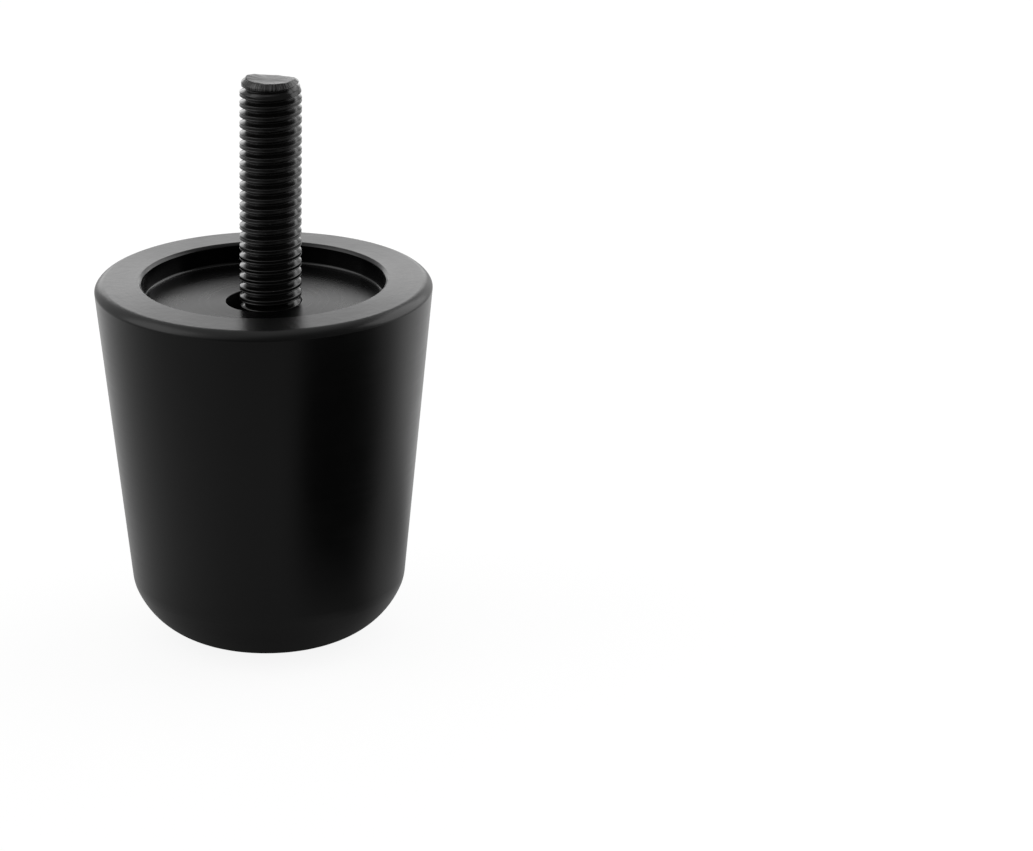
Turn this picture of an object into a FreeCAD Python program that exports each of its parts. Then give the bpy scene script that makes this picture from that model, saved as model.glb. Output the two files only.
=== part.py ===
import FreeCAD, Part
import math
import os
import Sketcher

# A handlebar end weight: one turned steel weight, and the long countersunk screw
# that stands loose in it. The weight stands on its domed outer end, at z = 0, and
# the threaded end of the screw points up out of the recess for the bar.

# Driving sizes, in millimetres and degrees: name, value, meaning
SIZES = [
    ("big_diameter", 32.0, "widest circle, near the bar"),
    ("shoulder_diameter", 26.0, "where the taper ends and the dome starts"),
    ("total_height", 35.25, "from the domed end to the flat face"),
    ("shoulder_height", 5.45, "height of the dome"),
    ("dome_radius", 8.0, "radius of the domed end in section"),
    ("face_diameter", 30.2, "outside of the flat face"),
    ("edge_drop", 0.85, "from the flat face down to the widest circle"),
    ("edge_radius", 1.15, "radius of the rounded outer edge in section"),
    ("recess_diameter", 23.1, "recess that takes the end of a 22 mm bar"),
    ("recess_depth", 2.1, "from the flat face down to the recess floor"),
    ("mouth_chamfer", 0.26, "broken edge at the mouth of the recess"),
    ("hole_diameter", 7.2, "clearance hole for the screw"),
    ("seat_diameter", 12.7, "counterbore round the screw's head"),
    ("seat_depth", 0.5, "straight wall of the counterbore"),
    ("seat_angle", 90.0, "full angle of the countersunk seat and of the head"),
    ("head_diameter", 11.9, "screw head"),
    ("head_land", 0.3, "straight rim of the screw's head"),
    ("shank_diameter", 5.35, "plain shank, rolled down to the thread's pitch diameter"),
    ("thread_diameter", 5.86, "outside of the thread"),
    ("thread_length", 21.95, "full thread, with its chamfered start"),
    ("runout_length", 2.3, "where the thread fades into the shank"),
    ("screw_length", 54.95, "from the head's face to the tip"),
    ("tip_diameter", 4.7, "end face of the screw"),
    ("tip_length", 0.6, "chamfer at the start of the thread"),
    ("cup_depth", 0.2, "hollow that thread rolling leaves in the end face"),
    ("socket_width", 4.0, "hexagon socket across its flats"),
    ("socket_depth", 2.6, "flat sides of the socket"),
    ("socket_mouth", 4.95, "cone that opens the socket's mouth"),
    ("mouth_angle", 120.0, "full angle of that cone"),
    ("drill_angle", 118.0, "full angle of the drilled cone below the socket"),
    ("lean_gap", 0.04, "left between the leaning thread and the edge of its hole"),
]

# Heights and lengths that follow from the sizes
FLOOR = "(Sizes.total_height - Sizes.recess_depth)"
SEAT_END = "Sizes.seat_depth + (Sizes.seat_diameter - Sizes.hole_diameter) / 2 / tan(Sizes.seat_angle / 2)"
HEAD_END = "Sizes.head_land + (Sizes.head_diameter - Sizes.shank_diameter) / 2 / tan(Sizes.seat_angle / 2)"
THREAD_START = "(Sizes.screw_length - Sizes.thread_length)"

# The loose screw leans until its thread all but touches the edge of the hole at
# the recess floor, and stands on the lowest point of its head.
LEAN = "atan((Sizes.hole_diameter / 2 - Sizes.thread_diameter / 2 - Sizes.lean_gap) / " + FLOOR + ")"
HEAD_LIFT = "Sizes.head_diameter / 2 * sin(" + LEAN + ")"

doc = FreeCAD.newDocument("bar_end_weight")
sheet = doc.addObject("Spreadsheet::Sheet", "Sizes")
for row, (alias, value, meaning) in enumerate(SIZES, start=1):
    sheet.set("A%d" % row, meaning)
    sheet.set("B%d" % row, str(value))
    sheet.setAlias("B%d" % row, alias)
doc.recompute()


def value_of(sketch, expression):
    """What an expression of sizes comes to now, to draw a sketch near its final shape."""
    return float(FreeCAD.Units.Quantity(sketch.evalExpression(expression)).Value)


def new_body(label):
    """An empty body that carries one piece."""
    body = doc.addObject("PartDesign::Body", label)
    body.Label = label
    return body


def half_section(body, name, corners):
    """A closed sketch on the upright plane, from corners given anticlockwise.

    A corner is (name, radius expression, height expression), and a fourth item is
    the radius of the outward arc that leaves it, where that edge isn't straight.
    """
    sketch = body.newObject("Sketcher::SketchObject", name)
    upright = [item for item in body.Origin.OriginFeatures if item.Role == "XZ_Plane"][0]
    sketch.AttachmentSupport = [(upright, "")]
    sketch.MapMode = "FlatFace"
    spots = []
    for corner in corners:
        spots.append(FreeCAD.Vector(value_of(sketch, corner[1]), value_of(sketch, corner[2]), 0))
    for index, corner in enumerate(corners):
        start = spots[index]
        end = spots[(index + 1) % len(corners)]
        if len(corner) == 4:
            sketch.addGeometry(outward_arc(start, end, value_of(sketch, corner[3])), False)
        else:
            sketch.addGeometry(Part.LineSegment(start, end), False)
    for index in range(len(corners)):
        following = (index + 1) % len(corners)
        sketch.addConstraint(Sketcher.Constraint("Coincident", index, 2, following, 1))
    for index, corner in enumerate(corners):
        hold(sketch, index, "DistanceX", corner[0] + "_x", corner[1], spots[index].x)
        hold(sketch, index, "DistanceY", corner[0] + "_y", corner[2], spots[index].y)
        if len(corner) == 4:
            bend = Sketcher.Constraint("Radius", index, value_of(sketch, corner[3]))
            bind(sketch, bend, corner[0] + "_bend", corner[3])
    return sketch


def outward_arc(start, end, radius):
    """The short arc that runs anticlockwise from start to end."""
    chord = end - start
    left = FreeCAD.Vector(-chord.y, chord.x, 0).normalize()
    centre = start + chord * 0.5 + left * math.sqrt(radius ** 2 - (chord.Length / 2) ** 2)
    first = math.atan2(start.y - centre.y, start.x - centre.x)
    last = math.atan2(end.y - centre.y, end.x - centre.x)
    circle = Part.Circle(centre, FreeCAD.Vector(0, 0, 1), radius)
    return Part.ArcOfCircle(circle, first, last)


def hold(sketch, index, kind, name, expression, value):
    """Hold one coordinate of a corner: on the axis where it is 0, else at its size."""
    if expression == "0":
        axis = -2 if kind == "DistanceX" else -1
        sketch.addConstraint(Sketcher.Constraint("PointOnObject", index, 1, axis))
    else:
        bind(sketch, Sketcher.Constraint(kind, -1, 1, index, 1, value), name, expression)


def bind(sketch, constraint, name, expression):
    """Add a named constraint and bind it to its expression."""
    place = sketch.addConstraint(constraint)
    sketch.renameConstraint(place, name)
    sketch.setExpression("Constraints." + name, expression)


def turn(body, kind, name, corners):
    """Revolve a half section about the upright axis, to add it or to cut it away."""
    sketch = half_section(body, name + "Section", corners)
    feature = body.newObject(kind, name)
    feature.Profile = sketch
    feature.ReferenceAxis = (sketch, ["V_Axis"])
    feature.Angle = 360.0
    doc.recompute()
    return feature


def make_weight():
    """The turned weight: dome, taper, rounded edge, recess, screw hole and its seat."""
    body = new_body("turned_weight")
    turn(body, "PartDesign::Revolution", "Blank", [
        ("axis_low", "0", "0"),
        ("dome_low", "Sizes.seat_diameter / 2", "0", "Sizes.dome_radius"),
        ("shoulder", "Sizes.shoulder_diameter / 2", "Sizes.shoulder_height"),
        ("widest", "Sizes.big_diameter / 2", "Sizes.total_height - Sizes.edge_drop", "Sizes.edge_radius"),
        ("face_rim", "Sizes.face_diameter / 2", "Sizes.total_height"),
        ("axis_high", "0", "Sizes.total_height"),
    ])
    wall = "Sizes.recess_diameter / 2"
    turn(body, "PartDesign::Groove", "BarRecess", [
        ("floor_axis", "0", FLOOR),
        ("wall_low", wall, FLOOR),
        ("wall_high", wall, "Sizes.total_height - Sizes.mouth_chamfer"),
        ("mouth", wall + " + Sizes.mouth_chamfer", "Sizes.total_height"),
        ("mouth_axis", "0", "Sizes.total_height"),
    ])
    hole = "Sizes.hole_diameter / 2"
    turn(body, "PartDesign::Groove", "ScrewHole", [
        ("seat_axis", "0", "0"),
        ("seat_rim", "Sizes.seat_diameter / 2", "0"),
        ("seat_wall", "Sizes.seat_diameter / 2", "Sizes.seat_depth"),
        ("seat_end", hole, SEAT_END),
        ("hole_high", hole, FLOOR),
        ("hole_axis", "0", FLOOR),
    ])
    return body


def make_screw():
    """The hexagon socket countersunk screw, built upright on its head and then leaned."""
    body = new_body("countersunk_screw")
    turn(body, "PartDesign::Revolution", "Turned", [
        ("face_axis", "0", "0"),
        ("face_rim", "Sizes.head_diameter / 2", "0"),
        ("land", "Sizes.head_diameter / 2", "Sizes.head_land"),
        ("neck", "Sizes.shank_diameter / 2", HEAD_END),
        ("runout", "Sizes.shank_diameter / 2", THREAD_START + " - Sizes.runout_length"),
        ("thread_low", "Sizes.thread_diameter / 2", THREAD_START),
        ("thread_high", "Sizes.thread_diameter / 2", "Sizes.screw_length - Sizes.tip_length"),
        ("tip_rim", "Sizes.tip_diameter / 2", "Sizes.screw_length"),
        ("tip_axis", "0", "Sizes.screw_length"),
    ])
    cup_radius = "(Sizes.tip_diameter ^ 2 / 8 / Sizes.cup_depth + Sizes.cup_depth / 2)"
    turn(body, "PartDesign::Groove", "TipCup", [
        ("cup_low", "0", "Sizes.screw_length - Sizes.cup_depth", cup_radius),
        ("cup_rim", "Sizes.tip_diameter / 2", "Sizes.screw_length"),
        ("cup_axis", "0", "Sizes.screw_length"),
    ])
    turn(body, "PartDesign::Groove", "SocketMouth", [
        ("mouth_axis", "0", "0"),
        ("mouth_rim", "Sizes.socket_mouth / 2", "0"),
        ("mouth_apex", "0", "Sizes.socket_mouth / 2 / tan(Sizes.mouth_angle / 2)"),
    ])
    turn(body, "PartDesign::Groove", "SocketDrill", [
        ("drill_axis", "0", "0"),
        ("drill_rim", "Sizes.socket_width / 2", "0"),
        ("drill_wall", "Sizes.socket_width / 2", "Sizes.socket_depth"),
        ("drill_apex", "0", "Sizes.socket_depth + Sizes.socket_width / 2 / tan(Sizes.drill_angle / 2)"),
    ])
    socket = body.newObject("PartDesign::SubtractivePrism", "Socket")
    socket.Polygon = 6
    socket.setExpression("Circumradius", "Sizes.socket_width / sqrt(3)")
    socket.setExpression("Height", "Sizes.socket_depth")
    doc.recompute()
    body.Placement = FreeCAD.Placement(FreeCAD.Vector(0, 0, 0), FreeCAD.Rotation(FreeCAD.Vector(0, 1, 0), 1))
    body.setExpression("Placement.Rotation.Angle", LEAN)
    body.setExpression("Placement.Base.z", HEAD_LIFT)
    return body


pieces = [make_weight(), make_screw()]
doc.recompute()

for item in doc.Objects:
    if "Invalid" in item.State or "Error" in item.State:
        raise RuntimeError("failed object: " + item.Name)
for piece in pieces:
    if piece.Shape.isNull() or not piece.Shape.isValid() or len(piece.Shape.Solids) != 1:
        raise RuntimeError("bad shape: " + piece.Label)

os.makedirs("parts", exist_ok=True)
for piece in pieces:
    piece.Shape.exportStep("parts/" + piece.Label + ".step")
    box = piece.Shape.BoundBox
    print(piece.Label, "volume", round(piece.Shape.Volume, 2), "z", round(box.ZMin, 3), round(box.ZMax, 3))
print("gap between the pieces", round(pieces[0].Shape.distToShape(pieces[1].Shape)[0], 4))
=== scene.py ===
import math

import bmesh
import bpy
from mathutils import Matrix, Vector


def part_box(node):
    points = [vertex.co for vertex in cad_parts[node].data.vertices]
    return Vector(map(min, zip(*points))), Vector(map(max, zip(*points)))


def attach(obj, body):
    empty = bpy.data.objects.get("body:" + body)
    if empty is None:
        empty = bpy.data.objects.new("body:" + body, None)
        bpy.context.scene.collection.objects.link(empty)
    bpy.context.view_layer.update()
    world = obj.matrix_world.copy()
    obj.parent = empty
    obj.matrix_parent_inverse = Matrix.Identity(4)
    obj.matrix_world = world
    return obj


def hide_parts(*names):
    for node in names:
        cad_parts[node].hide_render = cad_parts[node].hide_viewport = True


bl_info = {
    "name": "Bar End Weight",
    "version": (1, 0, 0),
    "blender": (4, 5, 0),
    "location": "View3D > Sidebar > Bar End",
    "description": "Builds a satin black bar end weight and its countersunk screw, on a pale stage",
    "category": "Add Mesh",
}

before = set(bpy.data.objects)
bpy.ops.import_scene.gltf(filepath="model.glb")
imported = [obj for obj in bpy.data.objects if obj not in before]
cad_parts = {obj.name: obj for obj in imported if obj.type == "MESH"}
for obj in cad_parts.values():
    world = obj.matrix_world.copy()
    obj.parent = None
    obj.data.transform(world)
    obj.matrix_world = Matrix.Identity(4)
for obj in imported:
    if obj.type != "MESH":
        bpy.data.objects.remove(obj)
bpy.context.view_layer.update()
WEIGHT_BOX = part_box("turned_weight")

# Lengths are written in millimetres, and Blender keeps metres
MM = 0.001

# Vertices this near to each other are one
MERGE = 0.001 * MM

# A place this near to a wanted one is that place
NEAR = 0.002 * MM

# Open edges this near to a height belong to the ring there
HAIR = 0.005 * MM

# Surfaces that meet at a smaller angle are shaded as one
SMOOTH_ANGLE = math.radians(50.0)

# How strongly each finish bends light
COATING_IOR = 1.45
# The recess floor and wall get a copy of the coating that reflects more weakly, and so looks darker
RECESS_COATING_IOR = 1.2
OXIDE_IOR = 1.47

# Turns of thread that are wound before its two ends are cut off
THREAD_TURNS = 26

# One side of a crest, in mm: how far below the crest, and how far past its lip
CREST_SIDE = ((0.10, 0.075), (0.04, 0.035), (0.01, 0.008), (0.0, -0.02))

# The channel between the lips: share of its depth, and how far inside the lip in mm
CREST_CHANNEL = ((0.25, 0.04), (1.0, 0.07), (1.0, 0.09))

# The thread's start, in mm: how far below the tip, and how far under the crest
TIP_STEPS = ((1.4, 0.0), (0.95, 0.17), (0.42, 0.17))

# Side of the end face that has been knocked down, and how far down the blow reached
DENT_SIDE = math.radians(75.0)
DENT_REACH = 1.0 * MM

# Waves in the rim of the end face: height in mm, waves in a turn, and where they start
RIM_WAVES = ((0.012, 7.0, 1.0), (0.010, 13.0, 0.0))

# Rings of the dished end face: share of the dish that each one sinks, and its size to the last
DISH_RINGS = ((0.0, 0.97), (0.15, 0.9), (0.3, 0.84), (0.3, 0.78), (0.15, 0.65), (0.1, 0.4))

# Half angle of the drill's point under the socket, and the share of it that each ring sinks
DRILL_HALF_ANGLE = math.radians(59.0)
DRILL_RINGS = (0.35, 0.35, 0.2)

# Slope of the cone that opens the socket's mouth, and the heights that its rings lie between
MOUTH_SLOPE = math.radians(30.0)
MOUTH_RINGS = (0.01 * MM, 0.5 * MM)

# How high the finest relief of each finish stands
COATING_RELIEF = 0.0006 * MM
OXIDE_RELIEF = 0.002 * MM

# Soft lamps, in metres: name, place, and width and height
LAMPS = (
    ("back_panel", (-0.0155, 0.15, 0.0735), (0.138, 0.071)),
    ("left_softbox", (-0.81, -0.09, 0.60), (0.82, 0.82)),
    ("right_softbox", (0.79, 0.38, 0.44), (1.0, 0.74)),
    ("back_fill", (0.45, 0.83, 0.20), (0.42, 0.42)),
)

# Where they all point
LAMP_AIM = (0.0, 0.0, 0.03)

# Where the room is palest in reflections: at the back left, and a little up
PALE_SIDE = (-0.692, 0.521, 0.5)

# Painted shadows and painted light on the floor as reflections see it, in soft round spots, in mm:
# middle x and y, radius where the change is full, radius where it ends, and brightness times. Most are
# painted shade: the contact shadow under the weight, its own soft shadow in front, a darker floor far in
# front, and dark patches on the right. The first is a painted pool of light that lights the middle of the
# underside, and the last a paler floor at the far back right.
PAINTED_FLOOR_SPOTS = (
    (0.0, 0.0, 5.5, 6.4, 55.0),
    (0.0, 0.0, 6.0, 18.0, 0.03),
    (0.0, -200.0, 70.0, 130.0, 0.1),
    (16.0, -9.0, 0.0, 9.0, 0.55),
    (3.0, -15.0, 0.0, 40.0, 0.5),
    (41.0, -31.0, 19.0, 37.0, 0.0),
    (70.0, -50.0, 30.0, 52.0, 0.0),
    (34.0, 12.0, 0.0, 26.0, 0.45),
    (60.0, -12.0, 0.0, 36.0, 0.22),
    (78.0, -4.0, 0.0, 36.0, 0.35),
    (300.0, 480.0, 0.0, 450.0, 1.75),
)

# Painted shade on the floor as reflections see it: its brightness changes along a line, turned by an
# angle, from the darker place in front to the paler place behind. Further out it fades between two
# distances.
FLOOR_TURN = math.radians(12.0)
FLOOR_LINE = (-50.0 * MM, 60.0 * MM)
FLOOR_FADE = (100.0 * MM, 300.0 * MM)

# What the camera sees of the floor: its own glow, and how far that hides the light on it
FLOOR_GLOW = 1.05
FLOOR_GLOW_SHARE = 0.85


def length(name, millimetres, description):
    """A length that the user may change, given in millimetres."""
    return bpy.props.FloatProperty(
        name=name,
        description=description,
        default=millimetres * MM,
        min=0.0,
        precision=5,
        unit="LENGTH",
    )


def colour(name, values, description):
    """A linear colour that the user may change."""
    return bpy.props.FloatVectorProperty(
        name=name,
        description=description,
        default=values,
        min=0.0,
        max=1.0,
        size=3,
        subtype="COLOR",
    )


def share(name, value, description, top=1.0):
    """A plain number from 0 up to a highest value."""
    return bpy.props.FloatProperty(
        name=name,
        description=description,
        default=value,
        min=0.0,
        max=top,
        precision=3,
    )


class WeightSizes(bpy.types.PropertyGroup):
    """Sizes of the turned weight."""

    wide_diameter: length(
        "Widest Diameter",
        (WEIGHT_BOX[1].x - WEIGHT_BOX[0].x) / MM,
        "Across the widest circle",
    )
    total_height: length("Total Height", WEIGHT_BOX[1].z / MM, "From the domed end to the flat face")
    shoulder_diameter: length("Shoulder Diameter", 26.0, "Where the taper ends and the dome starts")
    shoulder_height: length("Shoulder Height", 5.45, "Height of the dome")
    dome_radius: length("Dome Radius", 8.0, "Radius of the domed end in section")
    face_diameter: length("Face Diameter", 30.2, "Outside of the flat face")
    face_crown: length("Face Crown", 0.085, "How far polishing has lowered the outer side of the flat face")
    edge_drop: length("Edge Drop", 0.85, "From the flat face down to the widest circle")
    edge_radius: length("Edge Radius", 1.15, "Radius of the rounded outer edge in section")
    recess_diameter: length("Recess Diameter", 23.1, "Recess that takes the end of the bar")
    recess_depth: length("Recess Depth", 2.1, "From the flat face down to the recess floor")
    mouth_chamfer: length("Mouth Chamfer", 0.28, "Width of the broken edge at the mouth of the recess")
    mouth_break: length("Mouth Break", 0.035, "Softening of that broken edge's two corners")
    tool_radius: length("Tool Radius", 0.25, "Left by the tool where the recess wall meets its floor")
    hole_diameter: length("Hole Diameter", 7.2, "Clearance hole for the screw")
    seat_diameter: length("Seat Diameter", 12.7, "Counterbore round the screw's head")
    seat_depth: length("Seat Depth", 0.5, "Straight wall of the counterbore")
    shoulder_blend: length("Shoulder Blend", 0.45, "Softening where the taper meets the dome")
    edge_break: length("Edge Break", 0.07, "Softening of every other turned edge")
    segments: bpy.props.IntProperty(
        name="Segments",
        description="Straight steps that make one full turn",
        default=288,
        min=32,
        max=512,
    )


class ScrewSizes(bpy.types.PropertyGroup):
    """Sizes of the countersunk screw."""

    screw_length: length("Screw Length", 54.927, "From the head's face to the tip")
    head_diameter: length("Head Diameter", 11.9, "Across the head")
    head_land: length("Head Land", 0.3, "Straight rim of the head")
    head_break: length("Head Break", 0.13, "Worn edge of the head")
    shank_diameter: length("Shank Diameter", 5.35, "Plain shank below the thread")
    runout_start: length("Run-out Start", 31.0, "Where the thread starts to rise out of the shank")
    thread_start: length("Thread Start", 33.3, "Where the thread has its full height")
    thread_diameter: length("Thread Diameter", 5.86, "Outside of the thread")
    thread_pitch: length("Thread Pitch", 1.0, "From one crest to the next")
    thread_depth: length("Thread Depth", 0.55, "From the crest down to the root")
    crest_width: length("Crest Width", 0.33, "Between the two lips of one turn's crest")
    crest_channel: length("Crest Channel", 0.035, "Depth of the channel between the two lips")
    crest_height: length("First Crest", 29.87, "Height of one crest on the side towards +X")
    tip_diameter: length("Tip Diameter", 4.7, "End face of the screw")
    tip_dent: length("Tip Dent", 0.47, "How far the end face has been knocked down on one side")
    tip_dish: length("Tip Dish", 0.2, "Hollow in the end face")
    socket_width: length("Socket Width", 4.0, "Hexagon socket across its flats")
    socket_depth: length("Socket Depth", 2.6, "Flat sides of the socket")
    socket_mouth: length("Socket Mouth", 4.95, "Cone that opens the socket's mouth")
    segments: bpy.props.IntProperty(
        name="Segments",
        description="Straight steps that make one full turn",
        default=96,
        min=24,
        max=192,
    )
    lean: bpy.props.FloatProperty(
        name="Lean",
        description="How far the loose screw leans towards +X in its hole",
        default=math.asin(0.01900108),
        unit="ROTATION",
        precision=4,
    )


class FinishColours(bpy.types.PropertyGroup):
    """Colours and finishes of the two pieces."""

    coating: colour("Coating", (0.0006, 0.0006, 0.00065), "Satin black coating of the weight")
    coating_roughness: share("Coating Roughness", 0.31, "How softly the coating reflects")
    # Roughness of the weaker-reflecting copy of the coating on the recess floor and wall
    recess_roughness: share("Recess Coating Roughness", 0.28, "The same, where it lies thin in the recess")
    oxide: colour("Black Oxide", (0.0022, 0.0021, 0.002), "Black oxide on the screw")
    worn_oxide: colour("Worn Oxide", (0.030, 0.027, 0.024), "Oxide rubbed thin on the face of the head")
    brown: colour("Brown Tint", (0.050, 0.036, 0.026), "Brownish tint round the socket")
    oxide_roughness: share("Oxide Roughness", 0.19, "How softly the oxide reflects")
    bare_steel: colour("Bare Steel", (0.30, 0.30, 0.30), "Where the oxide is worn through")


class StageSettings(bpy.types.PropertyGroup):
    """Camera, lamps and floor."""

    camera_place: bpy.props.FloatVectorProperty(
        name="Camera Place",
        description="Where the camera stands",
        default=(0.02385, -0.510835, 0.201167),
        subtype="TRANSLATION",
        unit="LENGTH",
        precision=5,
    )
    camera_turn: bpy.props.FloatVectorProperty(
        name="Camera Turn",
        description="How the camera is turned",
        default=(math.radians(70.51768), math.radians(0.22885), math.radians(-0.08096)),
        subtype="EULER",
        unit="ROTATION",
    )
    camera_lens: bpy.props.FloatProperty(
        name="Lens",
        description="Focal length on a sensor 36 mm wide",
        default=198.02,
        unit="CAMERA",
    )
    floor_reach: length("Floor Reach", 3000.0, "Half width of the floor")
    floor_colour: colour("Floor Colour", (0.8, 0.8, 0.8), "Pale floor")
    # The floor in reflections carries painted shade: darker in front, paler behind, fading far away
    floor_front: share("Floor in Front", 0.27, "Its brightness in reflections, 50 mm in front", 2.0)
    floor_behind: share("Floor Behind", 0.90, "Its brightness in reflections, 60 mm behind", 2.0)
    floor_far: share("Floor Far Away", 0.6, "Share of that brightness that is left 300 mm away", 2.0)
    room: share("Room", 0.7, "Brightness of the room as plain light", 2.0)
    room_dim_side: share("Dim Side of Room", 0.13, "Its brightness in reflections, at the front right", 2.0)
    room_pale_side: share("Pale Side of Room", 0.58, "Its brightness in reflections, at the back left", 2.0)
    back_panel: share("Back Panel", 1.42, "Brightness that the panel behind the object adds", 5.0)
    left_softbox: share("Left Softbox", 1.0, "Brightness that the softbox on the left adds", 5.0)
    right_softbox: share("Right Softbox", 1.72, "Brightness that the softbox on the right adds", 5.0)
    back_fill: share("Back Fill", 0.42, "Brightness that the lamp between those two adds", 5.0)


def start_profile(name, r, z):
    """One vertex on the upright plane, in edit mode, that a profile is drawn on from."""
    bpy.ops.object.select_all(action="DESELECT")
    bpy.ops.mesh.primitive_plane_add(size=MM, enter_editmode=True)
    bpy.ops.mesh.merge(type="CENTER")
    bpy.ops.transform.translate(value=(r, 0.0, z))
    bpy.context.object.name = name
    bpy.context.object.data.name = name
    return r, z


def line_to(end, r, z):
    """Draw a straight line on from the profile's open end to (r, z), which is returned."""
    step = (r - end[0], 0.0, z - end[1])
    bpy.ops.mesh.extrude_region_move(TRANSFORM_OT_translate={"value": step})
    return r, z


def arc_to(end, r, z, radius, steps):
    """Draw an arc on from the profile's open end to (r, z), bulging to its right."""
    chord = Vector((r - end[0], z - end[1]))
    left = Vector((-chord.y, chord.x)).normalized()
    centre = Vector(end) + chord / 2 + left * math.sqrt(radius ** 2 - chord.length ** 2 / 4)
    angle = 2 * math.asin(chord.length / 2 / radius)
    bpy.ops.mesh.spin(
        steps=steps,
        angle=angle,
        center=(centre.x, 0.0, centre.y),
        axis=(0.0, 1.0, 0.0),
        use_auto_merge=False,
    )
    return r, z


def pick(test):
    """Select, in edit mode, only the vertices whose place passes a test, and return how many."""
    bpy.ops.mesh.select_mode(type="VERT")
    bpy.ops.mesh.select_all(action="DESELECT")
    shape = bmesh.from_edit_mesh(bpy.context.object.data)
    for vert in shape.verts:
        vert.select = test(vert.co)
    shape.select_flush_mode()
    bmesh.update_edit_mesh(bpy.context.object.data)
    return sum(vert.select for vert in shape.verts)


def pick_ring(z_low, z_high, r_high=1.0):
    """Select, in edit mode, the open edges between two heights and up to a distance from the axis."""
    bpy.ops.mesh.select_all(action="DESELECT")
    bpy.ops.mesh.select_mode(type="EDGE")
    shape = bmesh.from_edit_mesh(bpy.context.object.data)
    found = 0
    for edge in shape.edges:
        ends = [vert.co for vert in edge.verts]
        near = all(z_low <= end.z <= z_high and math.hypot(end.x, end.y) <= r_high for end in ends)
        edge.select = near and len(edge.link_faces) < 2
        found += edge.select
    if not found:
        raise RuntimeError("no ring between %.3f and %.3f mm" % (z_low / MM, z_high / MM))
    shape.select_flush_mode()
    bmesh.update_edit_mesh(bpy.context.object.data)


def pick_ring_at(height):
    """Select, in edit mode, the open edges at one height."""
    pick_ring(height - HAIR, height + HAIR)


def round_corner(r, z, size, steps=3):
    """Round the corner of a profile that stands at (r, z)."""
    found = pick(lambda place: abs(place.x - r) < NEAR and abs(place.z - z) < NEAR)
    if found != 1:
        raise RuntimeError("no single profile corner at %.3f, %.3f mm" % (r / MM, z / MM))
    bpy.ops.mesh.bevel(offset=size, segments=steps, affect="VERTICES")


def turn_profile(segments):
    """Spin the whole profile once round the upright axis, and close it."""
    bpy.ops.mesh.select_all(action="SELECT")
    bpy.ops.mesh.remove_doubles(threshold=MERGE)
    bpy.ops.mesh.spin(
        steps=segments,
        angle=math.tau,
        center=(0.0, 0.0, 0.0),
        axis=(0.0, 0.0, 1.0),
    )
    close_shell()


def close_shell():
    """Merge doubles and turn every face outwards, in edit mode."""
    bpy.ops.mesh.select_all(action="SELECT")
    bpy.ops.mesh.remove_doubles(threshold=MERGE)
    bpy.ops.mesh.normals_make_consistent(inside=False)


def finish_piece(obj, node, material):
    """Smooth a piece, give it its material, and let it stand for its CAD node."""
    bpy.ops.object.mode_set(mode="OBJECT")
    bpy.ops.object.select_all(action="DESELECT")
    obj.select_set(True)
    bpy.context.view_layer.objects.active = obj
    bpy.ops.object.transform_apply(location=True, rotation=True, scale=True)
    bpy.ops.object.shade_smooth_by_angle(angle=SMOOTH_ANGLE)
    bpy.ops.object.modifier_add(type="WEIGHTED_NORMAL")
    obj.modifiers[-1].keep_sharp = True
    bpy.ops.object.modifier_apply(modifier=obj.modifiers[-1].name)
    obj.data.materials.clear()
    obj.data.materials.append(material)
    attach(obj, "root")
    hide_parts(node)


class Nodes:
    """A short way to add and link the nodes of one tree."""

    def __init__(self, tree):
        self.tree = tree
        tree.nodes.clear()

    def add(self, kind, inputs=None, **settings):
        """Add a node, set its settings, and fill its inputs from values or other sockets."""
        node = self.tree.nodes.new(kind)
        for key, value in settings.items():
            setattr(node, key, value)
        for key, value in (inputs or {}).items():
            if isinstance(value, bpy.types.NodeSocket):
                self.tree.links.new(value, node.inputs[key])
            else:
                node.inputs[key].default_value = value
        return node

    def math(self, operation, first, second=0.0, clamp=False):
        """A Math node's result."""
        inputs = {0: first, 1: second}
        return self.add("ShaderNodeMath", inputs, operation=operation, use_clamp=clamp).outputs[0]

    def ramp(self, value, start, end, low=0.0, high=1.0):
        """A value carried from one range smoothly into another."""
        node = self.add(
            "ShaderNodeMapRange",
            {"Value": value, "From Min": start, "From Max": end, "To Min": low, "To Max": high},
            interpolation_type="SMOOTHSTEP",
        )
        return node.outputs["Result"]

    def mix(self, factor, first, second):
        """Two colours mixed by a factor."""
        node = self.add("ShaderNodeMix", {"Factor": factor}, data_type="RGBA")
        for key, value in ((6, first), (7, second)):
            if isinstance(value, bpy.types.NodeSocket):
                self.tree.links.new(value, node.inputs[key])
            else:
                node.inputs[key].default_value = (*value, 1.0)
        return node.outputs[2]

    def distance(self, place, centre=(0.0, 0.0, 0.0)):
        """How far a place is from a fixed one."""
        return self.add("ShaderNodeVectorMath", {0: place, 1: centre}, operation="DISTANCE").outputs["Value"]

    def scaled(self, vector, factor):
        """A vector made longer by a factor."""
        return self.add("ShaderNodeVectorMath", {0: vector, 3: factor}, operation="SCALE").outputs[0]

    def plus(self, first, second):
        """Two vectors added."""
        return self.add("ShaderNodeVectorMath", {0: first, 1: second}, operation="ADD").outputs[0]

    def upright(self, height):
        """A vector that points straight up, of a given height."""
        return self.add("ShaderNodeCombineXYZ", {2: height}).outputs[0]

    def axis_parts(self, place):
        """A place's height, its distance from the upright axis, and its level part."""
        parts = self.add("ShaderNodeSeparateXYZ", {0: place}).outputs
        level = self.add("ShaderNodeCombineXYZ", {0: parts[0], 1: parts[1]}).outputs[0]
        radius = self.add("ShaderNodeVectorMath", {0: level}, operation="LENGTH").outputs["Value"]
        return parts[2], radius, level


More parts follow.
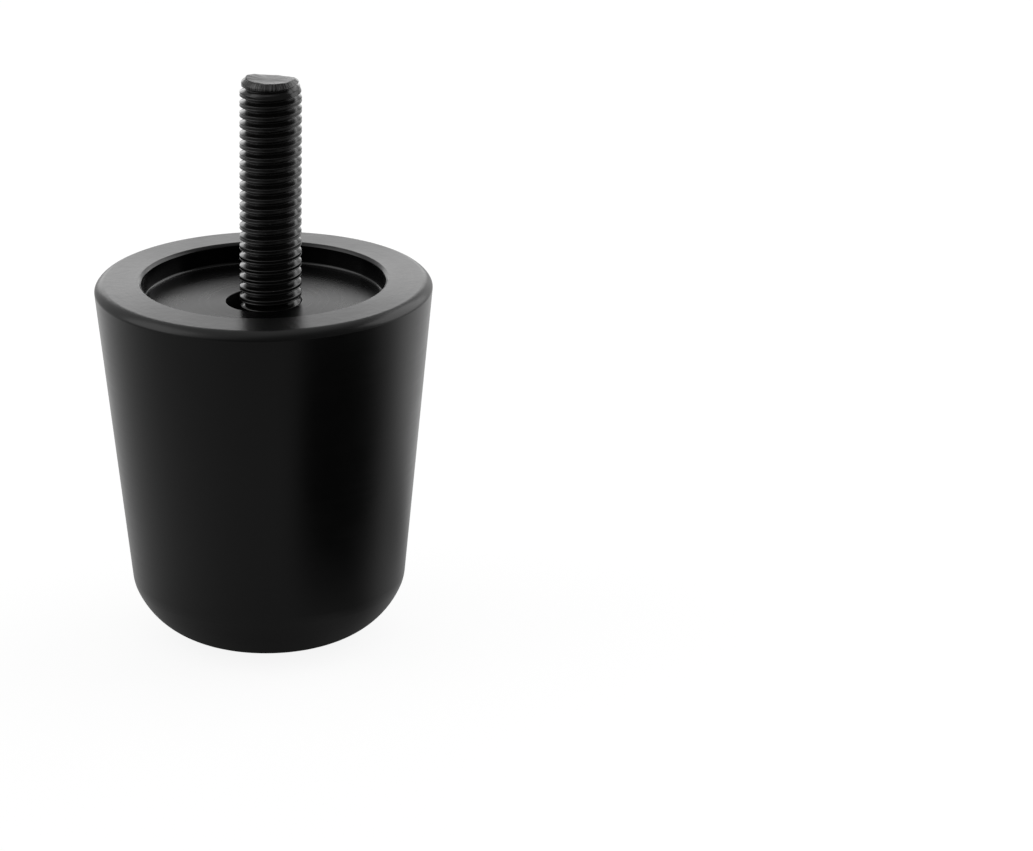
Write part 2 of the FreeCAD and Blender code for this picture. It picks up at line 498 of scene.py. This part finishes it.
def effect_group(name, inputs, outputs):
    """An empty node group with named number inputs and named outputs, and its nodes."""
    tree = bpy.data.node_groups.new(name, "ShaderNodeTree")
    for label, kind, value in inputs:
        socket = tree.interface.new_socket(label, in_out="INPUT", socket_type=kind)
        socket.default_value = value
    for label, kind in outputs:
        tree.interface.new_socket(label, in_out="OUTPUT", socket_type=kind)
    nodes = Nodes(tree)
    return tree, nodes, nodes.add("NodeGroupInput").outputs


def turned_marks():
    """Node group: the fine rings and the short streaks that turning leaves round the axis."""
    tree, nodes, given = effect_group(
        "Turned Marks",
        [
            ("Place", "NodeSocketVector", (0.0, 0.0, 0.0)),
            ("Ring Spacing", "NodeSocketFloat", 0.06),
            ("Streaks Round", "NodeSocketFloat", 16.0),
            ("Streak Width", "NodeSocketFloat", 0.6),
        ],
        [("Height", "NodeSocketFloat"), ("Sheen", "NodeSocketFloat"), ("Streaks", "NodeSocketFloat")],
    )
    height, radius, level = nodes.axis_parts(given["Place"])
    turn = nodes.add("ShaderNodeVectorMath", {0: level}, operation="NORMALIZE").outputs[0]
    along = nodes.math("ADD", nodes.math("MULTIPLY", radius, 1.7), height)
    step = nodes.upright(nodes.math("DIVIDE", along, given["Ring Spacing"]))
    rings = {"Vector": nodes.plus(turn, step)}
    step = nodes.upright(nodes.math("DIVIDE", along, given["Streak Width"]))
    short = {"Vector": nodes.plus(nodes.scaled(turn, given["Streaks Round"]), step)}
    fine = nodes.add("ShaderNodeTexNoise", {**rings, "Scale": 1.0, "Detail": 3.0, "Roughness": 0.6})
    broad = nodes.add("ShaderNodeTexNoise", {**rings, "Scale": 0.08, "Detail": 2.0, "Roughness": 0.5})
    streaks = nodes.add("ShaderNodeTexNoise", {**short, "Scale": 1.0, "Detail": 2.0, "Roughness": 0.5})
    nodes.add(
        "NodeGroupOutput",
        {"Height": fine.outputs["Fac"], "Sheen": broad.outputs["Fac"], "Streaks": streaks.outputs["Fac"]},
    )
    return tree


def coating_grain():
    """Node group: the faint orange peel of a sprayed or dipped coating, with sparse pits."""
    tree, nodes, given = effect_group(
        "Coating Grain",
        [
            ("Place", "NodeSocketVector", (0.0, 0.0, 0.0)),
            ("Grain Scale", "NodeSocketFloat", 9.0),
            ("Pit Share", "NodeSocketFloat", 0.02),
        ],
        [
            ("Height", "NodeSocketFloat"),
            ("Mottle", "NodeSocketFloat"),
            ("Cloud", "NodeSocketFloat"),
            ("Pits", "NodeSocketFloat"),
        ],
    )
    scaled = {"Vector": given["Place"], "Scale": given["Grain Scale"]}
    grain = nodes.add("ShaderNodeTexNoise", {**scaled, "Detail": 4.0, "Roughness": 0.65})
    mottle = nodes.add("ShaderNodeTexNoise", {"Vector": given["Place"], "Scale": 1.5, "Detail": 2.0})
    cloud = nodes.add("ShaderNodeTexNoise", {"Vector": given["Place"], "Scale": 0.35, "Detail": 4.0})
    cells = nodes.add("ShaderNodeTexVoronoi", {"Vector": given["Place"], "Scale": 2.6, "Randomness": 1.0})
    chosen = nodes.add("ShaderNodeSeparateColor", {0: cells.outputs["Color"]}).outputs[0]
    picked = nodes.math("LESS_THAN", chosen, given["Pit Share"])
    dots = nodes.ramp(cells.outputs["Distance"], 0.10, 0.03)
    nodes.add(
        "NodeGroupOutput",
        {
            "Height": grain.outputs["Fac"],
            "Mottle": mottle.outputs["Fac"],
            "Cloud": cloud.outputs["Fac"],
            "Pits": nodes.math("MULTIPLY", picked, dots),
        },
    )
    return tree


def group_node(nodes, name, maker, **inputs):
    """A node that holds an effect group, which is built the first time, with some inputs filled."""
    tree = bpy.data.node_groups.get(name) or maker()
    node = nodes.add("ShaderNodeGroup", node_tree=tree)
    for key, value in inputs.items():
        socket = node.inputs[key.replace("_", " ")]
        if isinstance(value, bpy.types.NodeSocket):
            nodes.tree.links.new(value, socket)
        else:
            socket.default_value = value
    return node


def millimetre_place(nodes, turn=(0.0, 0.0, 0.0), shift=(0.0, 0.0, 0.0)):
    """The place on the piece in millimetres, after a turn about the origin and a shift."""
    own = nodes.add("ShaderNodeTexCoord").outputs["Object"]
    inputs = {"Vector": own, "Location": shift, "Rotation": turn, "Scale": (1 / MM, 1 / MM, 1 / MM)}
    return nodes.add("ShaderNodeMapping", inputs).outputs[0]


def shades(tone, darker, paler):
    """A darker and a paler shade of one colour, each the colour times a number."""
    return [[times * part for part in tone] for times in (darker, paler)]


def coating_material(name, looks, sizes, roughness, refraction):
    """Satin black coating over turned steel: faint rings and streaks, a fine grain and tiny pits."""
    material = bpy.data.materials.new(name)
    material.use_nodes = True
    wall = sizes.recess_diameter / 2 / MM
    top = sizes.total_height / MM
    floor = top - sizes.recess_depth / MM
    nodes = Nodes(material.node_tree)
    place = millimetre_place(nodes)
    marks = group_node(nodes, "Turned Marks", turned_marks, Place=place, Ring_Spacing=0.05)
    grain = group_node(nodes, "Coating Grain", coating_grain, Place=place)
    dark, pale = shades(looks.coating, 0.8, 1.25)
    base = nodes.mix(grain.outputs["Cloud"], dark, pale)
    sheen = nodes.math("ADD", marks.outputs["Sheen"], grain.outputs["Cloud"])
    gloss = nodes.ramp(sheen, 0.6, 1.4, roughness - 0.02, roughness + 0.02)

    # The wall of the recess is smoother
    up, radius, _ = nodes.axis_parts(place)
    high = nodes.ramp(up, floor - 0.2, floor - 0.1)
    within = nodes.ramp(radius, wall + 0.05, wall + 0.01)
    bored = nodes.math("MULTIPLY", nodes.ramp(radius, wall - 0.5, wall - 0.3), within)
    bored = nodes.math("MULTIPLY", bored, high)
    rough = nodes.math("SUBTRACT", gloss, nodes.math("MULTIPLY", bored, 0.14))

    # The flat face is the most mottled, and the recess a little
    on_face = nodes.ramp(up, top - 0.3, top - 0.1, 0.0, 50.0)
    in_recess = nodes.math("MULTIPLY", nodes.math("MULTIPLY", within, high), 8.0)
    mottled = nodes.math("MULTIPLY", marks.outputs["Streaks"], 0.7)
    mottled = nodes.math("ADD", mottled, grain.outputs["Mottle"])
    mottled = nodes.math("MULTIPLY", mottled, nodes.math("MAXIMUM", on_face, in_recess))
    height = nodes.math("MULTIPLY", marks.outputs["Height"], 0.5)
    height = nodes.math("ADD", height, grain.outputs["Height"])
    height = nodes.math("ADD", height, mottled)
    height = nodes.math("SUBTRACT", height, nodes.math("MULTIPLY", grain.outputs["Pits"], 6.0))
    bump = nodes.add("ShaderNodeBump", {"Height": height, "Strength": 0.35, "Distance": COATING_RELIEF})
    surface = nodes.add(
        "ShaderNodeBsdfPrincipled",
        {
            "Base Color": base,
            "Roughness": rough,
            "IOR": refraction,
            "Anisotropic": 0.55,
            "Anisotropic Rotation": 0.25,
            "Normal": bump.outputs[0],
        },
    )
    nodes.add("ShaderNodeOutputMaterial", {"Surface": surface.outputs[0]})
    return material


def screw_lift(sizes):
    """How far the leaning screw is raised to stand on the lowest point of its head."""
    return sizes.head_diameter / 2 * math.sin(sizes.lean)


def oxide_material(looks, sizes):
    """Black oxide on steel: worn bare on the end face, scraped on its chamfer, rubbed thin on the head."""
    material = bpy.data.materials.new("black_oxide_steel")
    material.use_nodes = True
    nodes = Nodes(material.node_tree)
    lift = screw_lift(sizes) / MM
    shift = (lift * math.sin(sizes.lean), 0.0, -lift * math.cos(sizes.lean))
    place = millimetre_place(nodes, turn=(0.0, -sizes.lean, 0.0), shift=shift)
    along, radius, level = nodes.axis_parts(place)
    tip = sizes.screw_length / MM
    rim = sizes.head_diameter / 2 / MM
    crest = sizes.thread_diameter / 2 / MM
    marks = group_node(nodes, "Turned Marks", turned_marks, Place=place, Ring_Spacing=0.09)
    grain = group_node(nodes, "Coating Grain", coating_grain, Place=place, Grain_Scale=7.0, Pit_Share=0.12)

    # The end face, where the steel is bare in the middle and grey towards the rim
    normal = nodes.add("ShaderNodeNewGeometry").outputs["Normal"]
    facing_up = nodes.ramp(nodes.add("ShaderNodeSeparateXYZ", {0: normal}).outputs[2], 0.80, 0.93)
    end = nodes.math("MULTIPLY", nodes.ramp(along, tip - 0.8, tip - 0.6), facing_up)
    middle = nodes.ramp(nodes.distance(level, (0.2, -1.0, 0.0)), 2.6, 0.6, 0.02, 0.65)
    blotch = nodes.ramp(grain.outputs["Height"], 0.35, 0.65, 0.6, 1.0)
    face = nodes.math("MULTIPLY", nodes.math("MULTIPLY", end, middle), blotch)

    # Upright scrapes on the chamfer below it, and flecks along the crests
    turn = nodes.add("ShaderNodeVectorMath", {0: level}, operation="NORMALIZE").outputs[0]
    lines = nodes.plus(nodes.scaled(turn, 30.0), nodes.upright(nodes.math("MULTIPLY", along, 0.7)))
    lines = nodes.add("ShaderNodeTexNoise", {"Vector": lines, "Scale": 1.0, "Detail": 3.0}).outputs["Fac"]
    scraped = nodes.math("SUBTRACT", nodes.ramp(along, tip - 0.75, tip - 0.55), end, True)
    scraped = nodes.math("MULTIPLY", scraped, nodes.ramp(lines, 0.40, 0.66, 0.01, 0.24))
    flecks = nodes.math("MULTIPLY", grain.outputs["Pits"], nodes.ramp(radius, crest - 0.15, crest - 0.05))
    flecks = nodes.math("MULTIPLY", flecks, nodes.ramp(along, 1.0, tip, 0.1, 0.5))
    bare = nodes.math("MAXIMUM", face, nodes.math("MAXIMUM", scraped, flecks))

    # The face of the head
    head = nodes.ramp(along, 0.35, 0.1)
    tinted = nodes.mix(nodes.ramp(radius, 4.0, 2.3), looks.worn_oxide, looks.brown)
    rubbed = nodes.math("MULTIPLY", head, nodes.ramp(grain.outputs["Cloud"], 0.3, 0.7, 0.6, 1.0))
    edge = nodes.math("MULTIPLY", head, nodes.ramp(radius, rim - 0.45, rim - 0.1, 0.0, 0.25))

    dark, pale = shades(looks.oxide, 0.75, 1.35)
    oxide = nodes.mix(grain.outputs["Cloud"], dark, pale)
    base = nodes.mix(rubbed, oxide, tinted)
    base = nodes.mix(nodes.math("MAXIMUM", bare, edge), base, looks.bare_steel)
    uneven = nodes.ramp(grain.outputs["Cloud"], 0.3, 0.7, -0.05, 0.05)
    rough = nodes.math("ADD", uneven, looks.oxide_roughness)
    rough = nodes.math("ADD", rough, nodes.math("MULTIPLY", bare, 0.18))
    rough = nodes.math("ADD", rough, nodes.math("MULTIPLY", nodes.math("MAXIMUM", head, end), 0.2))
    height = nodes.math("ADD", marks.outputs["Height"], nodes.math("MULTIPLY", grain.outputs["Height"], 2.0))
    height = nodes.math("SUBTRACT", height, nodes.math("MULTIPLY", grain.outputs["Pits"], 4.0))
    height = nodes.math("ADD", height, nodes.math("MULTIPLY", scraped, 12.0))
    bump = nodes.add("ShaderNodeBump", {"Height": height, "Strength": 0.5, "Distance": OXIDE_RELIEF})
    surface = nodes.add(
        "ShaderNodeBsdfPrincipled",
        {
            "Base Color": base,
            "Roughness": rough,
            "Metallic": nodes.math("MULTIPLY", bare, 0.8),
            "IOR": OXIDE_IOR,
            "Normal": bump.outputs[0],
        },
    )
    nodes.add("ShaderNodeOutputMaterial", {"Surface": surface.outputs[0]})
    return material


class BAREND_OT_turned_weight(bpy.types.Operator):
    """Draw the weight's half section, round its corners, and turn it"""

    bl_idname = "bar_end.turned_weight"
    bl_label = "Turned Weight"
    bl_options = {"REGISTER", "UNDO"}

    def execute(self, context):
        sizes = context.scene.bar_end_weight_sizes
        top = sizes.total_height
        floor = top - sizes.recess_depth
        hole = sizes.hole_diameter / 2
        seat = sizes.seat_diameter / 2
        wall = sizes.recess_diameter / 2
        mouth = wall + sizes.mouth_chamfer
        bore = top - 0.9 * sizes.mouth_chamfer
        shoulder = (sizes.shoulder_diameter / 2, sizes.shoulder_height)
        widest = (sizes.wide_diameter / 2, top - sizes.edge_drop)
        rim = (sizes.face_diameter / 2, top - sizes.face_crown)
        seat_end = (hole, sizes.seat_depth + seat - hole)

        start = start_profile("coated_weight", seat, 0.0)
        end = arc_to(start, *shoulder, sizes.dome_radius, 20)
        end = line_to(end, *widest)
        end = arc_to(end, *rim, sizes.edge_radius, 10)
        end = line_to(end, mouth, top)
        end = line_to(end, wall, bore)
        end = line_to(end, wall, floor)
        end = line_to(end, hole, floor)
        end = line_to(end, *seat_end)
        end = line_to(end, seat, sizes.seat_depth)
        line_to(end, *start)
        bpy.ops.mesh.select_all(action="SELECT")
        bpy.ops.mesh.remove_doubles(threshold=MERGE)

        round_corner(*shoulder, sizes.shoulder_blend, 4)
        round_corner(wall, floor, sizes.tool_radius, 4)
        round_corner(*widest, 0.1 * MM)
        for r, z in (rim, (hole, floor), seat_end, start):
            round_corner(r, z, sizes.edge_break)
        for r, z in ((mouth, top), (wall, bore)):
            round_corner(r, z, sizes.mouth_break)
        turn_profile(sizes.segments)
        looks = context.scene.bar_end_finish
        coating = coating_material("satin_black_coating", looks, sizes, looks.coating_roughness, COATING_IOR)
        # A weaker-reflecting copy of the coating, which darkens the recess floor and wall
        thin = coating_material("recess_black_coating", looks, sizes, looks.recess_roughness, RECESS_COATING_IOR)
        weight = context.object
        finish_piece(weight, "turned_weight", coating)
        weight.data.materials.append(thin)
        for face in weight.data.polygons:
            radius = math.hypot(face.center.x, face.center.y)
            on_floor = radius < wall - sizes.tool_radius and abs(face.center.z - floor) < NEAR
            on_wall = radius < wall and floor + sizes.tool_radius < face.center.z < bore
            if on_floor or on_wall:
                face.material_index = 1
        return {"FINISHED"}


def thread_profile(sizes):
    """Draw one turn's section of the thread, from root to root, with its rolled crest."""
    crest = sizes.thread_diameter / 2
    root = crest - sizes.thread_depth
    lip = sizes.crest_width / 2
    side = [
        (root, sizes.thread_pitch / 2),
        (root + 0.02 * MM, sizes.thread_pitch / 2 - 0.05 * MM),
    ]
    side += [(crest - down * MM, lip + past * MM) for down, past in CREST_SIDE]
    side += [(crest - part * sizes.crest_channel, lip - inside * MM) for part, inside in CREST_CHANNEL]
    middle = sizes.crest_height
    points = [(r, middle - z) for r, z in side] + [(r, middle + z) for r, z in reversed(side)]
    end = start_profile("oxide_screw", *points[0])
    for r, z in points[1:]:
        end = line_to(end, r, z)


def tip_limit(z, sizes):
    """Widest radius that the tip has at a height along the screw."""
    crest = sizes.thread_diameter / 2
    end = sizes.tip_diameter / 2
    steps = [(sizes.screw_length - down * MM, crest - under * MM) for down, under in TIP_STEPS]
    steps.append((sizes.screw_length, end))
    for (low, wide), (high, slim) in zip(steps, steps[1:]):
        if low <= z <= high:
            return wide + (slim - wide) * (z - low) / (high - low)
    return crest if z < steps[0][0] else end


def shape_thread(sizes):
    """Fade the thread into the shank at its start, and chamfer it at the tip."""
    shank = sizes.shank_diameter / 2
    crest = sizes.thread_diameter / 2
    root = crest - sizes.thread_depth
    shape = bmesh.from_edit_mesh(bpy.context.object.data)
    for vert in shape.verts:
        radius = math.hypot(vert.co.x, vert.co.y)
        full = (vert.co.z - sizes.runout_start) / (sizes.thread_start - sizes.runout_start)
        full = min(max(full, 0.0), 1.0)
        high = min(shank + (crest - shank) * full, tip_limit(vert.co.z, sizes))
        low = min(shank + (root - shank) * full, high)
        wanted = min(max(radius, low), high)
        vert.co.x *= wanted / radius
        vert.co.y *= wanted / radius
    bmesh.update_edit_mesh(bpy.context.object.data)


def dent_tip(sizes):
    """Knock the end face down on the side that faces away, and rough up its rim."""
    shape = bmesh.from_edit_mesh(bpy.context.object.data)
    start = sizes.screw_length - DENT_REACH
    for vert in shape.verts:
        if vert.co.z < start:
            continue
        share_up = (vert.co.z - start) / (sizes.screw_length - start)
        turn = math.atan2(vert.co.y, vert.co.x)
        radius = math.hypot(vert.co.x, vert.co.y) / (sizes.tip_diameter / 2)
        lean_in = max(math.cos(turn - DENT_SIDE), 0.0) ** 1.3
        rough = sum(high * math.sin(waves * turn + first) for high, waves, first in RIM_WAVES)
        drop = sizes.tip_dent * lean_in * min(radius, 1.0) ** 1.5 + rough * MM * min(radius, 1.0)
        vert.co.z -= drop * share_up ** 2
    bmesh.update_edit_mesh(bpy.context.object.data)


def ring_in(height, scale):
    """Extrude the selected ring of edges, lift it, and draw it in towards the axis."""
    bpy.ops.mesh.extrude_region_move(TRANSFORM_OT_translate={"value": (0.0, 0.0, height)})
    bpy.ops.transform.resize(value=(scale, scale, 1.0), center_override=(0.0, 0.0, 0.0))


class BAREND_OT_countersunk_screw(bpy.types.Operator):
    """Roll the thread, turn the head, cut its socket, and lean the screw in its hole"""

    bl_idname = "bar_end.countersunk_screw"
    bl_label = "Countersunk Screw"
    bl_options = {"REGISTER", "UNDO"}

    def execute(self, context):
        sizes = context.scene.bar_end_screw_sizes
        thread_profile(sizes)
        bpy.ops.object.mode_set(mode="OBJECT")
        screw = context.object
        bpy.ops.object.modifier_add(type="SCREW")
        winding = screw.modifiers[-1]
        winding.axis = "Z"
        winding.angle = math.tau
        winding.screw_offset = sizes.thread_pitch
        winding.iterations = THREAD_TURNS
        winding.steps = sizes.segments
        winding.render_steps = sizes.segments
        winding.use_merge_vertices = True
        winding.merge_threshold = MERGE
        bpy.ops.object.modifier_apply(modifier=winding.name)

        bpy.ops.object.mode_set(mode="EDIT")
        bpy.ops.mesh.select_all(action="SELECT")
        bpy.ops.mesh.remove_doubles(threshold=MERGE)
        for height, below in ((sizes.runout_start, True), (sizes.screw_length, False)):
            bpy.ops.mesh.select_all(action="SELECT")
            bpy.ops.mesh.bisect(
                plane_co=(0.0, 0.0, height),
                plane_no=(0.0, 0.0, 1.0),
                clear_inner=below,
                clear_outer=not below,
                threshold=0.0001 * MM,
            )
        shape_thread(sizes)

        self.close_tip(sizes)
        dent_tip(sizes)
        self.draw_head(sizes)
        self.cut_socket(sizes)
        close_shell()

        raised = Matrix.Translation((0.0, 0.0, screw_lift(sizes)))
        bpy.ops.object.mode_set(mode="OBJECT")
        screw.data.transform(raised @ Matrix.Rotation(sizes.lean, 4, "Y"))
        material = oxide_material(context.scene.bar_end_finish, sizes)
        finish_piece(screw, "countersunk_screw", material)
        return {"FINISHED"}

    def close_tip(self, sizes):
        """Close the end face with a shallow dish."""
        pick_ring_at(sizes.screw_length)
        for part, scale in DISH_RINGS:
            ring_in(-part * sizes.tip_dish, scale)
        bpy.ops.mesh.merge(type="CENTER")

    def draw_head(self, sizes):
        """Run the shank down from the thread, and flare it into the head with its worn rim."""
        radius = sizes.shank_diameter / 2
        head = sizes.head_diameter / 2
        neck = sizes.head_land + head - radius
        fillet = 0.35 * MM
        worn = sizes.head_break
        shank = sizes.runout_start - 1.0 * MM
        bpy.ops.mesh.select_all(action="DESELECT")
        bpy.ops.mesh.primitive_circle_add(vertices=sizes.segments, radius=radius, location=(0.0, 0.0, shank))
        pick_ring(shank - HAIR, sizes.runout_start + HAIR)
        bpy.ops.mesh.bridge_edge_loops()
        pick_ring_at(shank)
        rings = [
            (radius, neck + 1.2 * fillet),
            (radius + 0.12 * fillet, neck + 0.4 * fillet),
            (radius + 0.75 * fillet, neck - 0.75 * fillet),
            (head - 0.08 * MM, sizes.head_land + 0.08 * MM),
            (head, sizes.head_land - 0.03 * MM),
        ]
        for step in range(5):
            turn = step * math.pi / 8
            rings.append((head - worn * (1 - math.cos(turn)), worn * (1 - math.sin(turn))))
        rings.append((head - worn - 0.1 * MM, 0.0))
        rings.append((sizes.socket_mouth / 2 + 0.12 * MM, 0.0))
        rings.append((sizes.socket_mouth / 2, 0.015 * MM))
        at = (radius, shank)
        for r, z in rings:
            ring_in(z - at[1], r / at[0])
            at = (r, z)

    def cut_socket(self, sizes):
        """Sink the hexagon socket: a cone at its mouth, flat sides, and the drilled bottom."""
        corner = sizes.socket_width / math.sqrt(3)
        mouth = sizes.socket_mouth / 2
        depth = sizes.socket_depth
        drill = sizes.socket_width / 2 - 0.02 * MM
        bpy.ops.mesh.select_all(action="DESELECT")
        bpy.ops.mesh.primitive_circle_add(vertices=6, radius=corner)
        bpy.ops.mesh.subdivide(number_cuts=sizes.segments // 6 - 1)
        shape = bmesh.from_edit_mesh(bpy.context.object.data)
        for vert in shape.verts:
            if vert.select:
                vert.co.z = (mouth - math.hypot(vert.co.x, vert.co.y)) * math.tan(MOUTH_SLOPE)
        bmesh.update_edit_mesh(bpy.context.object.data)
        pick_ring(*MOUTH_RINGS, mouth + HAIR)
        bpy.ops.mesh.bridge_edge_loops()
        pick_ring(*MOUTH_RINGS, corner + HAIR)
        bpy.ops.mesh.extrude_region_move(TRANSFORM_OT_translate={"value": (0.0, 0.0, 0.0)})
        bpy.ops.transform.resize(value=(1.0, 1.0, 0.0), center_override=(0.0, 0.0, depth))
        bpy.ops.mesh.select_all(action="DESELECT")
        below = (0.0, 0.0, depth + HAIR)
        bpy.ops.mesh.primitive_circle_add(vertices=sizes.segments, radius=drill, location=below)
        pick_ring(depth - HAIR, depth + 2 * HAIR, corner + HAIR)
        bpy.ops.mesh.bridge_edge_loops()
        pick_ring(depth + 0.5 * HAIR, depth + 2 * HAIR, drill + HAIR)
        point = drill / math.tan(DRILL_HALF_ANGLE)
        for part in DRILL_RINGS:
            ring_in(part * point, 0.5)
        bpy.ops.mesh.merge(type="CENTER")


class BAREND_OT_stage(bpy.types.Operator):
    """Lay the pale floor, hang the lamps, and set up the camera"""

    bl_idname = "bar_end.stage"
    bl_label = "Stage"
    bl_options = {"REGISTER", "UNDO"}

    def execute(self, context):
        settings = context.scene.bar_end_stage
        bpy.ops.object.select_all(action="DESELECT")
        bpy.ops.mesh.primitive_plane_add(size=2 * settings.floor_reach)
        floor = context.object
        floor.name = "floor"
        floor.data.materials.append(floor_material(settings))

        for name, place, size in LAMPS:
            self.hang_lamp(name, place, size, getattr(settings, name))
        self.paint_room(context, settings)

        camera = bpy.data.cameras.new("camera")
        camera.lens = settings.camera_lens
        camera.sensor_width = 36.0
        camera.clip_start = 0.01
        eye = bpy.data.objects.new("camera", camera)
        eye.location = settings.camera_place
        eye.rotation_euler = settings.camera_turn
        context.scene.collection.objects.link(eye)
        context.scene.camera = eye
        context.scene.view_settings.view_transform = "Standard"
        return {"FINISHED"}

    def hang_lamp(self, name, place, size, brightness):
        """A soft rectangular lamp that faces the object, with a plain brightness of its surface."""
        lamp = bpy.data.lights.new(name, "AREA")
        lamp.shape = "RECTANGLE"
        lamp.size, lamp.size_y = size
        lamp.energy = brightness * math.pi * size[0] * size[1]
        holder = bpy.data.objects.new(name, lamp)
        holder.location = place
        aim = Vector(LAMP_AIM) - Vector(place)
        holder.rotation_euler = aim.to_track_quat("-Z", "Y").to_euler()
        bpy.context.scene.collection.objects.link(holder)

    def paint_room(self, context, settings):
        """Light from all round: white to the camera, plain as soft light, and uneven in reflections."""
        world = bpy.data.worlds.new("room")
        context.scene.world = world
        world.use_nodes = True
        nodes = Nodes(world.node_tree)
        path = nodes.add("ShaderNodeLightPath").outputs
        toward = nodes.add("ShaderNodeTexCoord").outputs["Generated"]
        side = nodes.add("ShaderNodeVectorMath", {0: toward, 1: PALE_SIDE}, operation="DOT_PRODUCT")
        side = side.outputs["Value"]
        glossy = nodes.ramp(side, -0.1, 0.45, settings.room_dim_side, settings.room_pale_side)
        seen = nodes.math("ADD", path["Is Camera Ray"], path["Is Transmission Ray"], True)
        plain = nodes.add(
            "ShaderNodeMix",
            {"Factor": path["Is Glossy Ray"], "A": settings.room, "B": glossy},
        ).outputs["Result"]
        strength = nodes.add("ShaderNodeMix", {"Factor": seen, "A": plain, "B": 1.0}).outputs["Result"]
        glow = nodes.add("ShaderNodeBackground", {"Color": (1.0, 1.0, 1.0, 1.0), "Strength": strength})
        nodes.add("ShaderNodeOutputWorld", {"Surface": glow.outputs[0]})


def floor_material(settings):
    """Pale floor: white to the camera with a faint soft shadow, and in reflections light grey with painted
    shade, painted shadows and a painted pool of light.
    """
    material = bpy.data.materials.new("pale_floor")
    material.use_nodes = True
    nodes = Nodes(material.node_tree)
    path = nodes.add("ShaderNodeLightPath").outputs
    facing = nodes.add("ShaderNodeNewGeometry").outputs["Backfacing"]
    seen = nodes.math("ADD", path["Is Camera Ray"], path["Is Transmission Ray"], True)
    place = nodes.add("ShaderNodeTexCoord").outputs["Object"]
    turned = nodes.add("ShaderNodeVectorRotate", {"Vector": place, "Angle": FLOOR_TURN}).outputs[0]
    depth = nodes.add("ShaderNodeSeparateXYZ", {0: turned}).outputs[1]
    pale = nodes.add(
        "ShaderNodeMapRange",
        {
            "Value": depth,
            "From Min": FLOOR_LINE[0],
            "From Max": FLOOR_LINE[1],
            "To Min": settings.floor_front,
            "To Max": settings.floor_behind,
        },
    )
    # What reflections see here is painted: shade from front to back, shadows and a pool of light in soft
    # spots, fading further out
    painted_floor_light = nodes.math("MULTIPLY", pale.outputs["Result"], path["Is Glossy Ray"])
    for x, y, inside, outside, times in PAINTED_FLOOR_SPOTS:
        away = nodes.distance(place, (x * MM, y * MM, 0.0))
        painted_floor_light = nodes.math("MULTIPLY", painted_floor_light, nodes.ramp(away, inside * MM, outside * MM, times, 1.0))
    away = nodes.distance(place)
    painted_floor_light = nodes.math("MULTIPLY", painted_floor_light, nodes.ramp(away, *FLOOR_FADE, 1.0, settings.floor_far))
    strength = nodes.math("ADD", nodes.math("MULTIPLY", seen, FLOOR_GLOW), painted_floor_light)
    lit = nodes.add("ShaderNodeBsdfDiffuse", {"Color": (*settings.floor_colour, 1.0)})
    glow = nodes.add("ShaderNodeEmission", {"Color": (1.0, 1.0, 1.0, 1.0), "Strength": strength})
    kept = nodes.math("ADD", nodes.math("MULTIPLY", seen, FLOOR_GLOW_SHARE), path["Is Glossy Ray"])
    mixed = nodes.add("ShaderNodeMixShader", {0: kept, 1: lit.outputs[0], 2: glow.outputs[0]})
    clear = nodes.add("ShaderNodeBsdfTransparent")
    under = nodes.add("ShaderNodeMixShader", {0: facing, 1: mixed.outputs[0], 2: clear.outputs[0]})
    nodes.add("ShaderNodeOutputMaterial", {"Surface": under.outputs[0]})
    return material


class BAREND_PT_panel(bpy.types.Panel):
    """Sizes and colours of the bar end weight, and the buttons that build it"""

    bl_idname = "BAREND_PT_panel"
    bl_label = "Bar End Weight"
    bl_space_type = "VIEW_3D"
    bl_region_type = "UI"
    bl_category = "Bar End"

    def draw(self, context):
        layout = self.layout
        scene = context.scene
        for operator, group in (
            (BAREND_OT_turned_weight, scene.bar_end_weight_sizes),
            (BAREND_OT_countersunk_screw, scene.bar_end_screw_sizes),
            (BAREND_OT_stage, scene.bar_end_stage),
        ):
            layout.operator(operator.bl_idname)
            for key in group.__annotations__:
                layout.prop(group, key)
        layout.label(text="Finish")
        for key in scene.bar_end_finish.__annotations__:
            layout.prop(scene.bar_end_finish, key)


CLASSES = (
    WeightSizes,
    ScrewSizes,
    FinishColours,
    StageSettings,
    BAREND_OT_turned_weight,
    BAREND_OT_countersunk_screw,
    BAREND_OT_stage,
    BAREND_PT_panel,
)


def register():
    """Register the classes and hang their settings on the scene."""
    for item in CLASSES:
        bpy.utils.register_class(item)
    bpy.types.Scene.bar_end_weight_sizes = bpy.props.PointerProperty(type=WeightSizes)
    bpy.types.Scene.bar_end_screw_sizes = bpy.props.PointerProperty(type=ScrewSizes)
    bpy.types.Scene.bar_end_finish = bpy.props.PointerProperty(type=FinishColours)
    bpy.types.Scene.bar_end_stage = bpy.props.PointerProperty(type=StageSettings)


def unregister():
    """Take the settings off the scene and unregister the classes."""
    del bpy.types.Scene.bar_end_stage
    del bpy.types.Scene.bar_end_finish
    del bpy.types.Scene.bar_end_screw_sizes
    del bpy.types.Scene.bar_end_weight_sizes
    for item in reversed(CLASSES):
        bpy.utils.unregister_class(item)


def main():
    """Build the pieces and their stage."""
    register()
    bpy.ops.bar_end.turned_weight()
    bpy.ops.bar_end.countersunk_screw()
    bpy.ops.bar_end.stage()


if __name__ == "__main__":
    main()
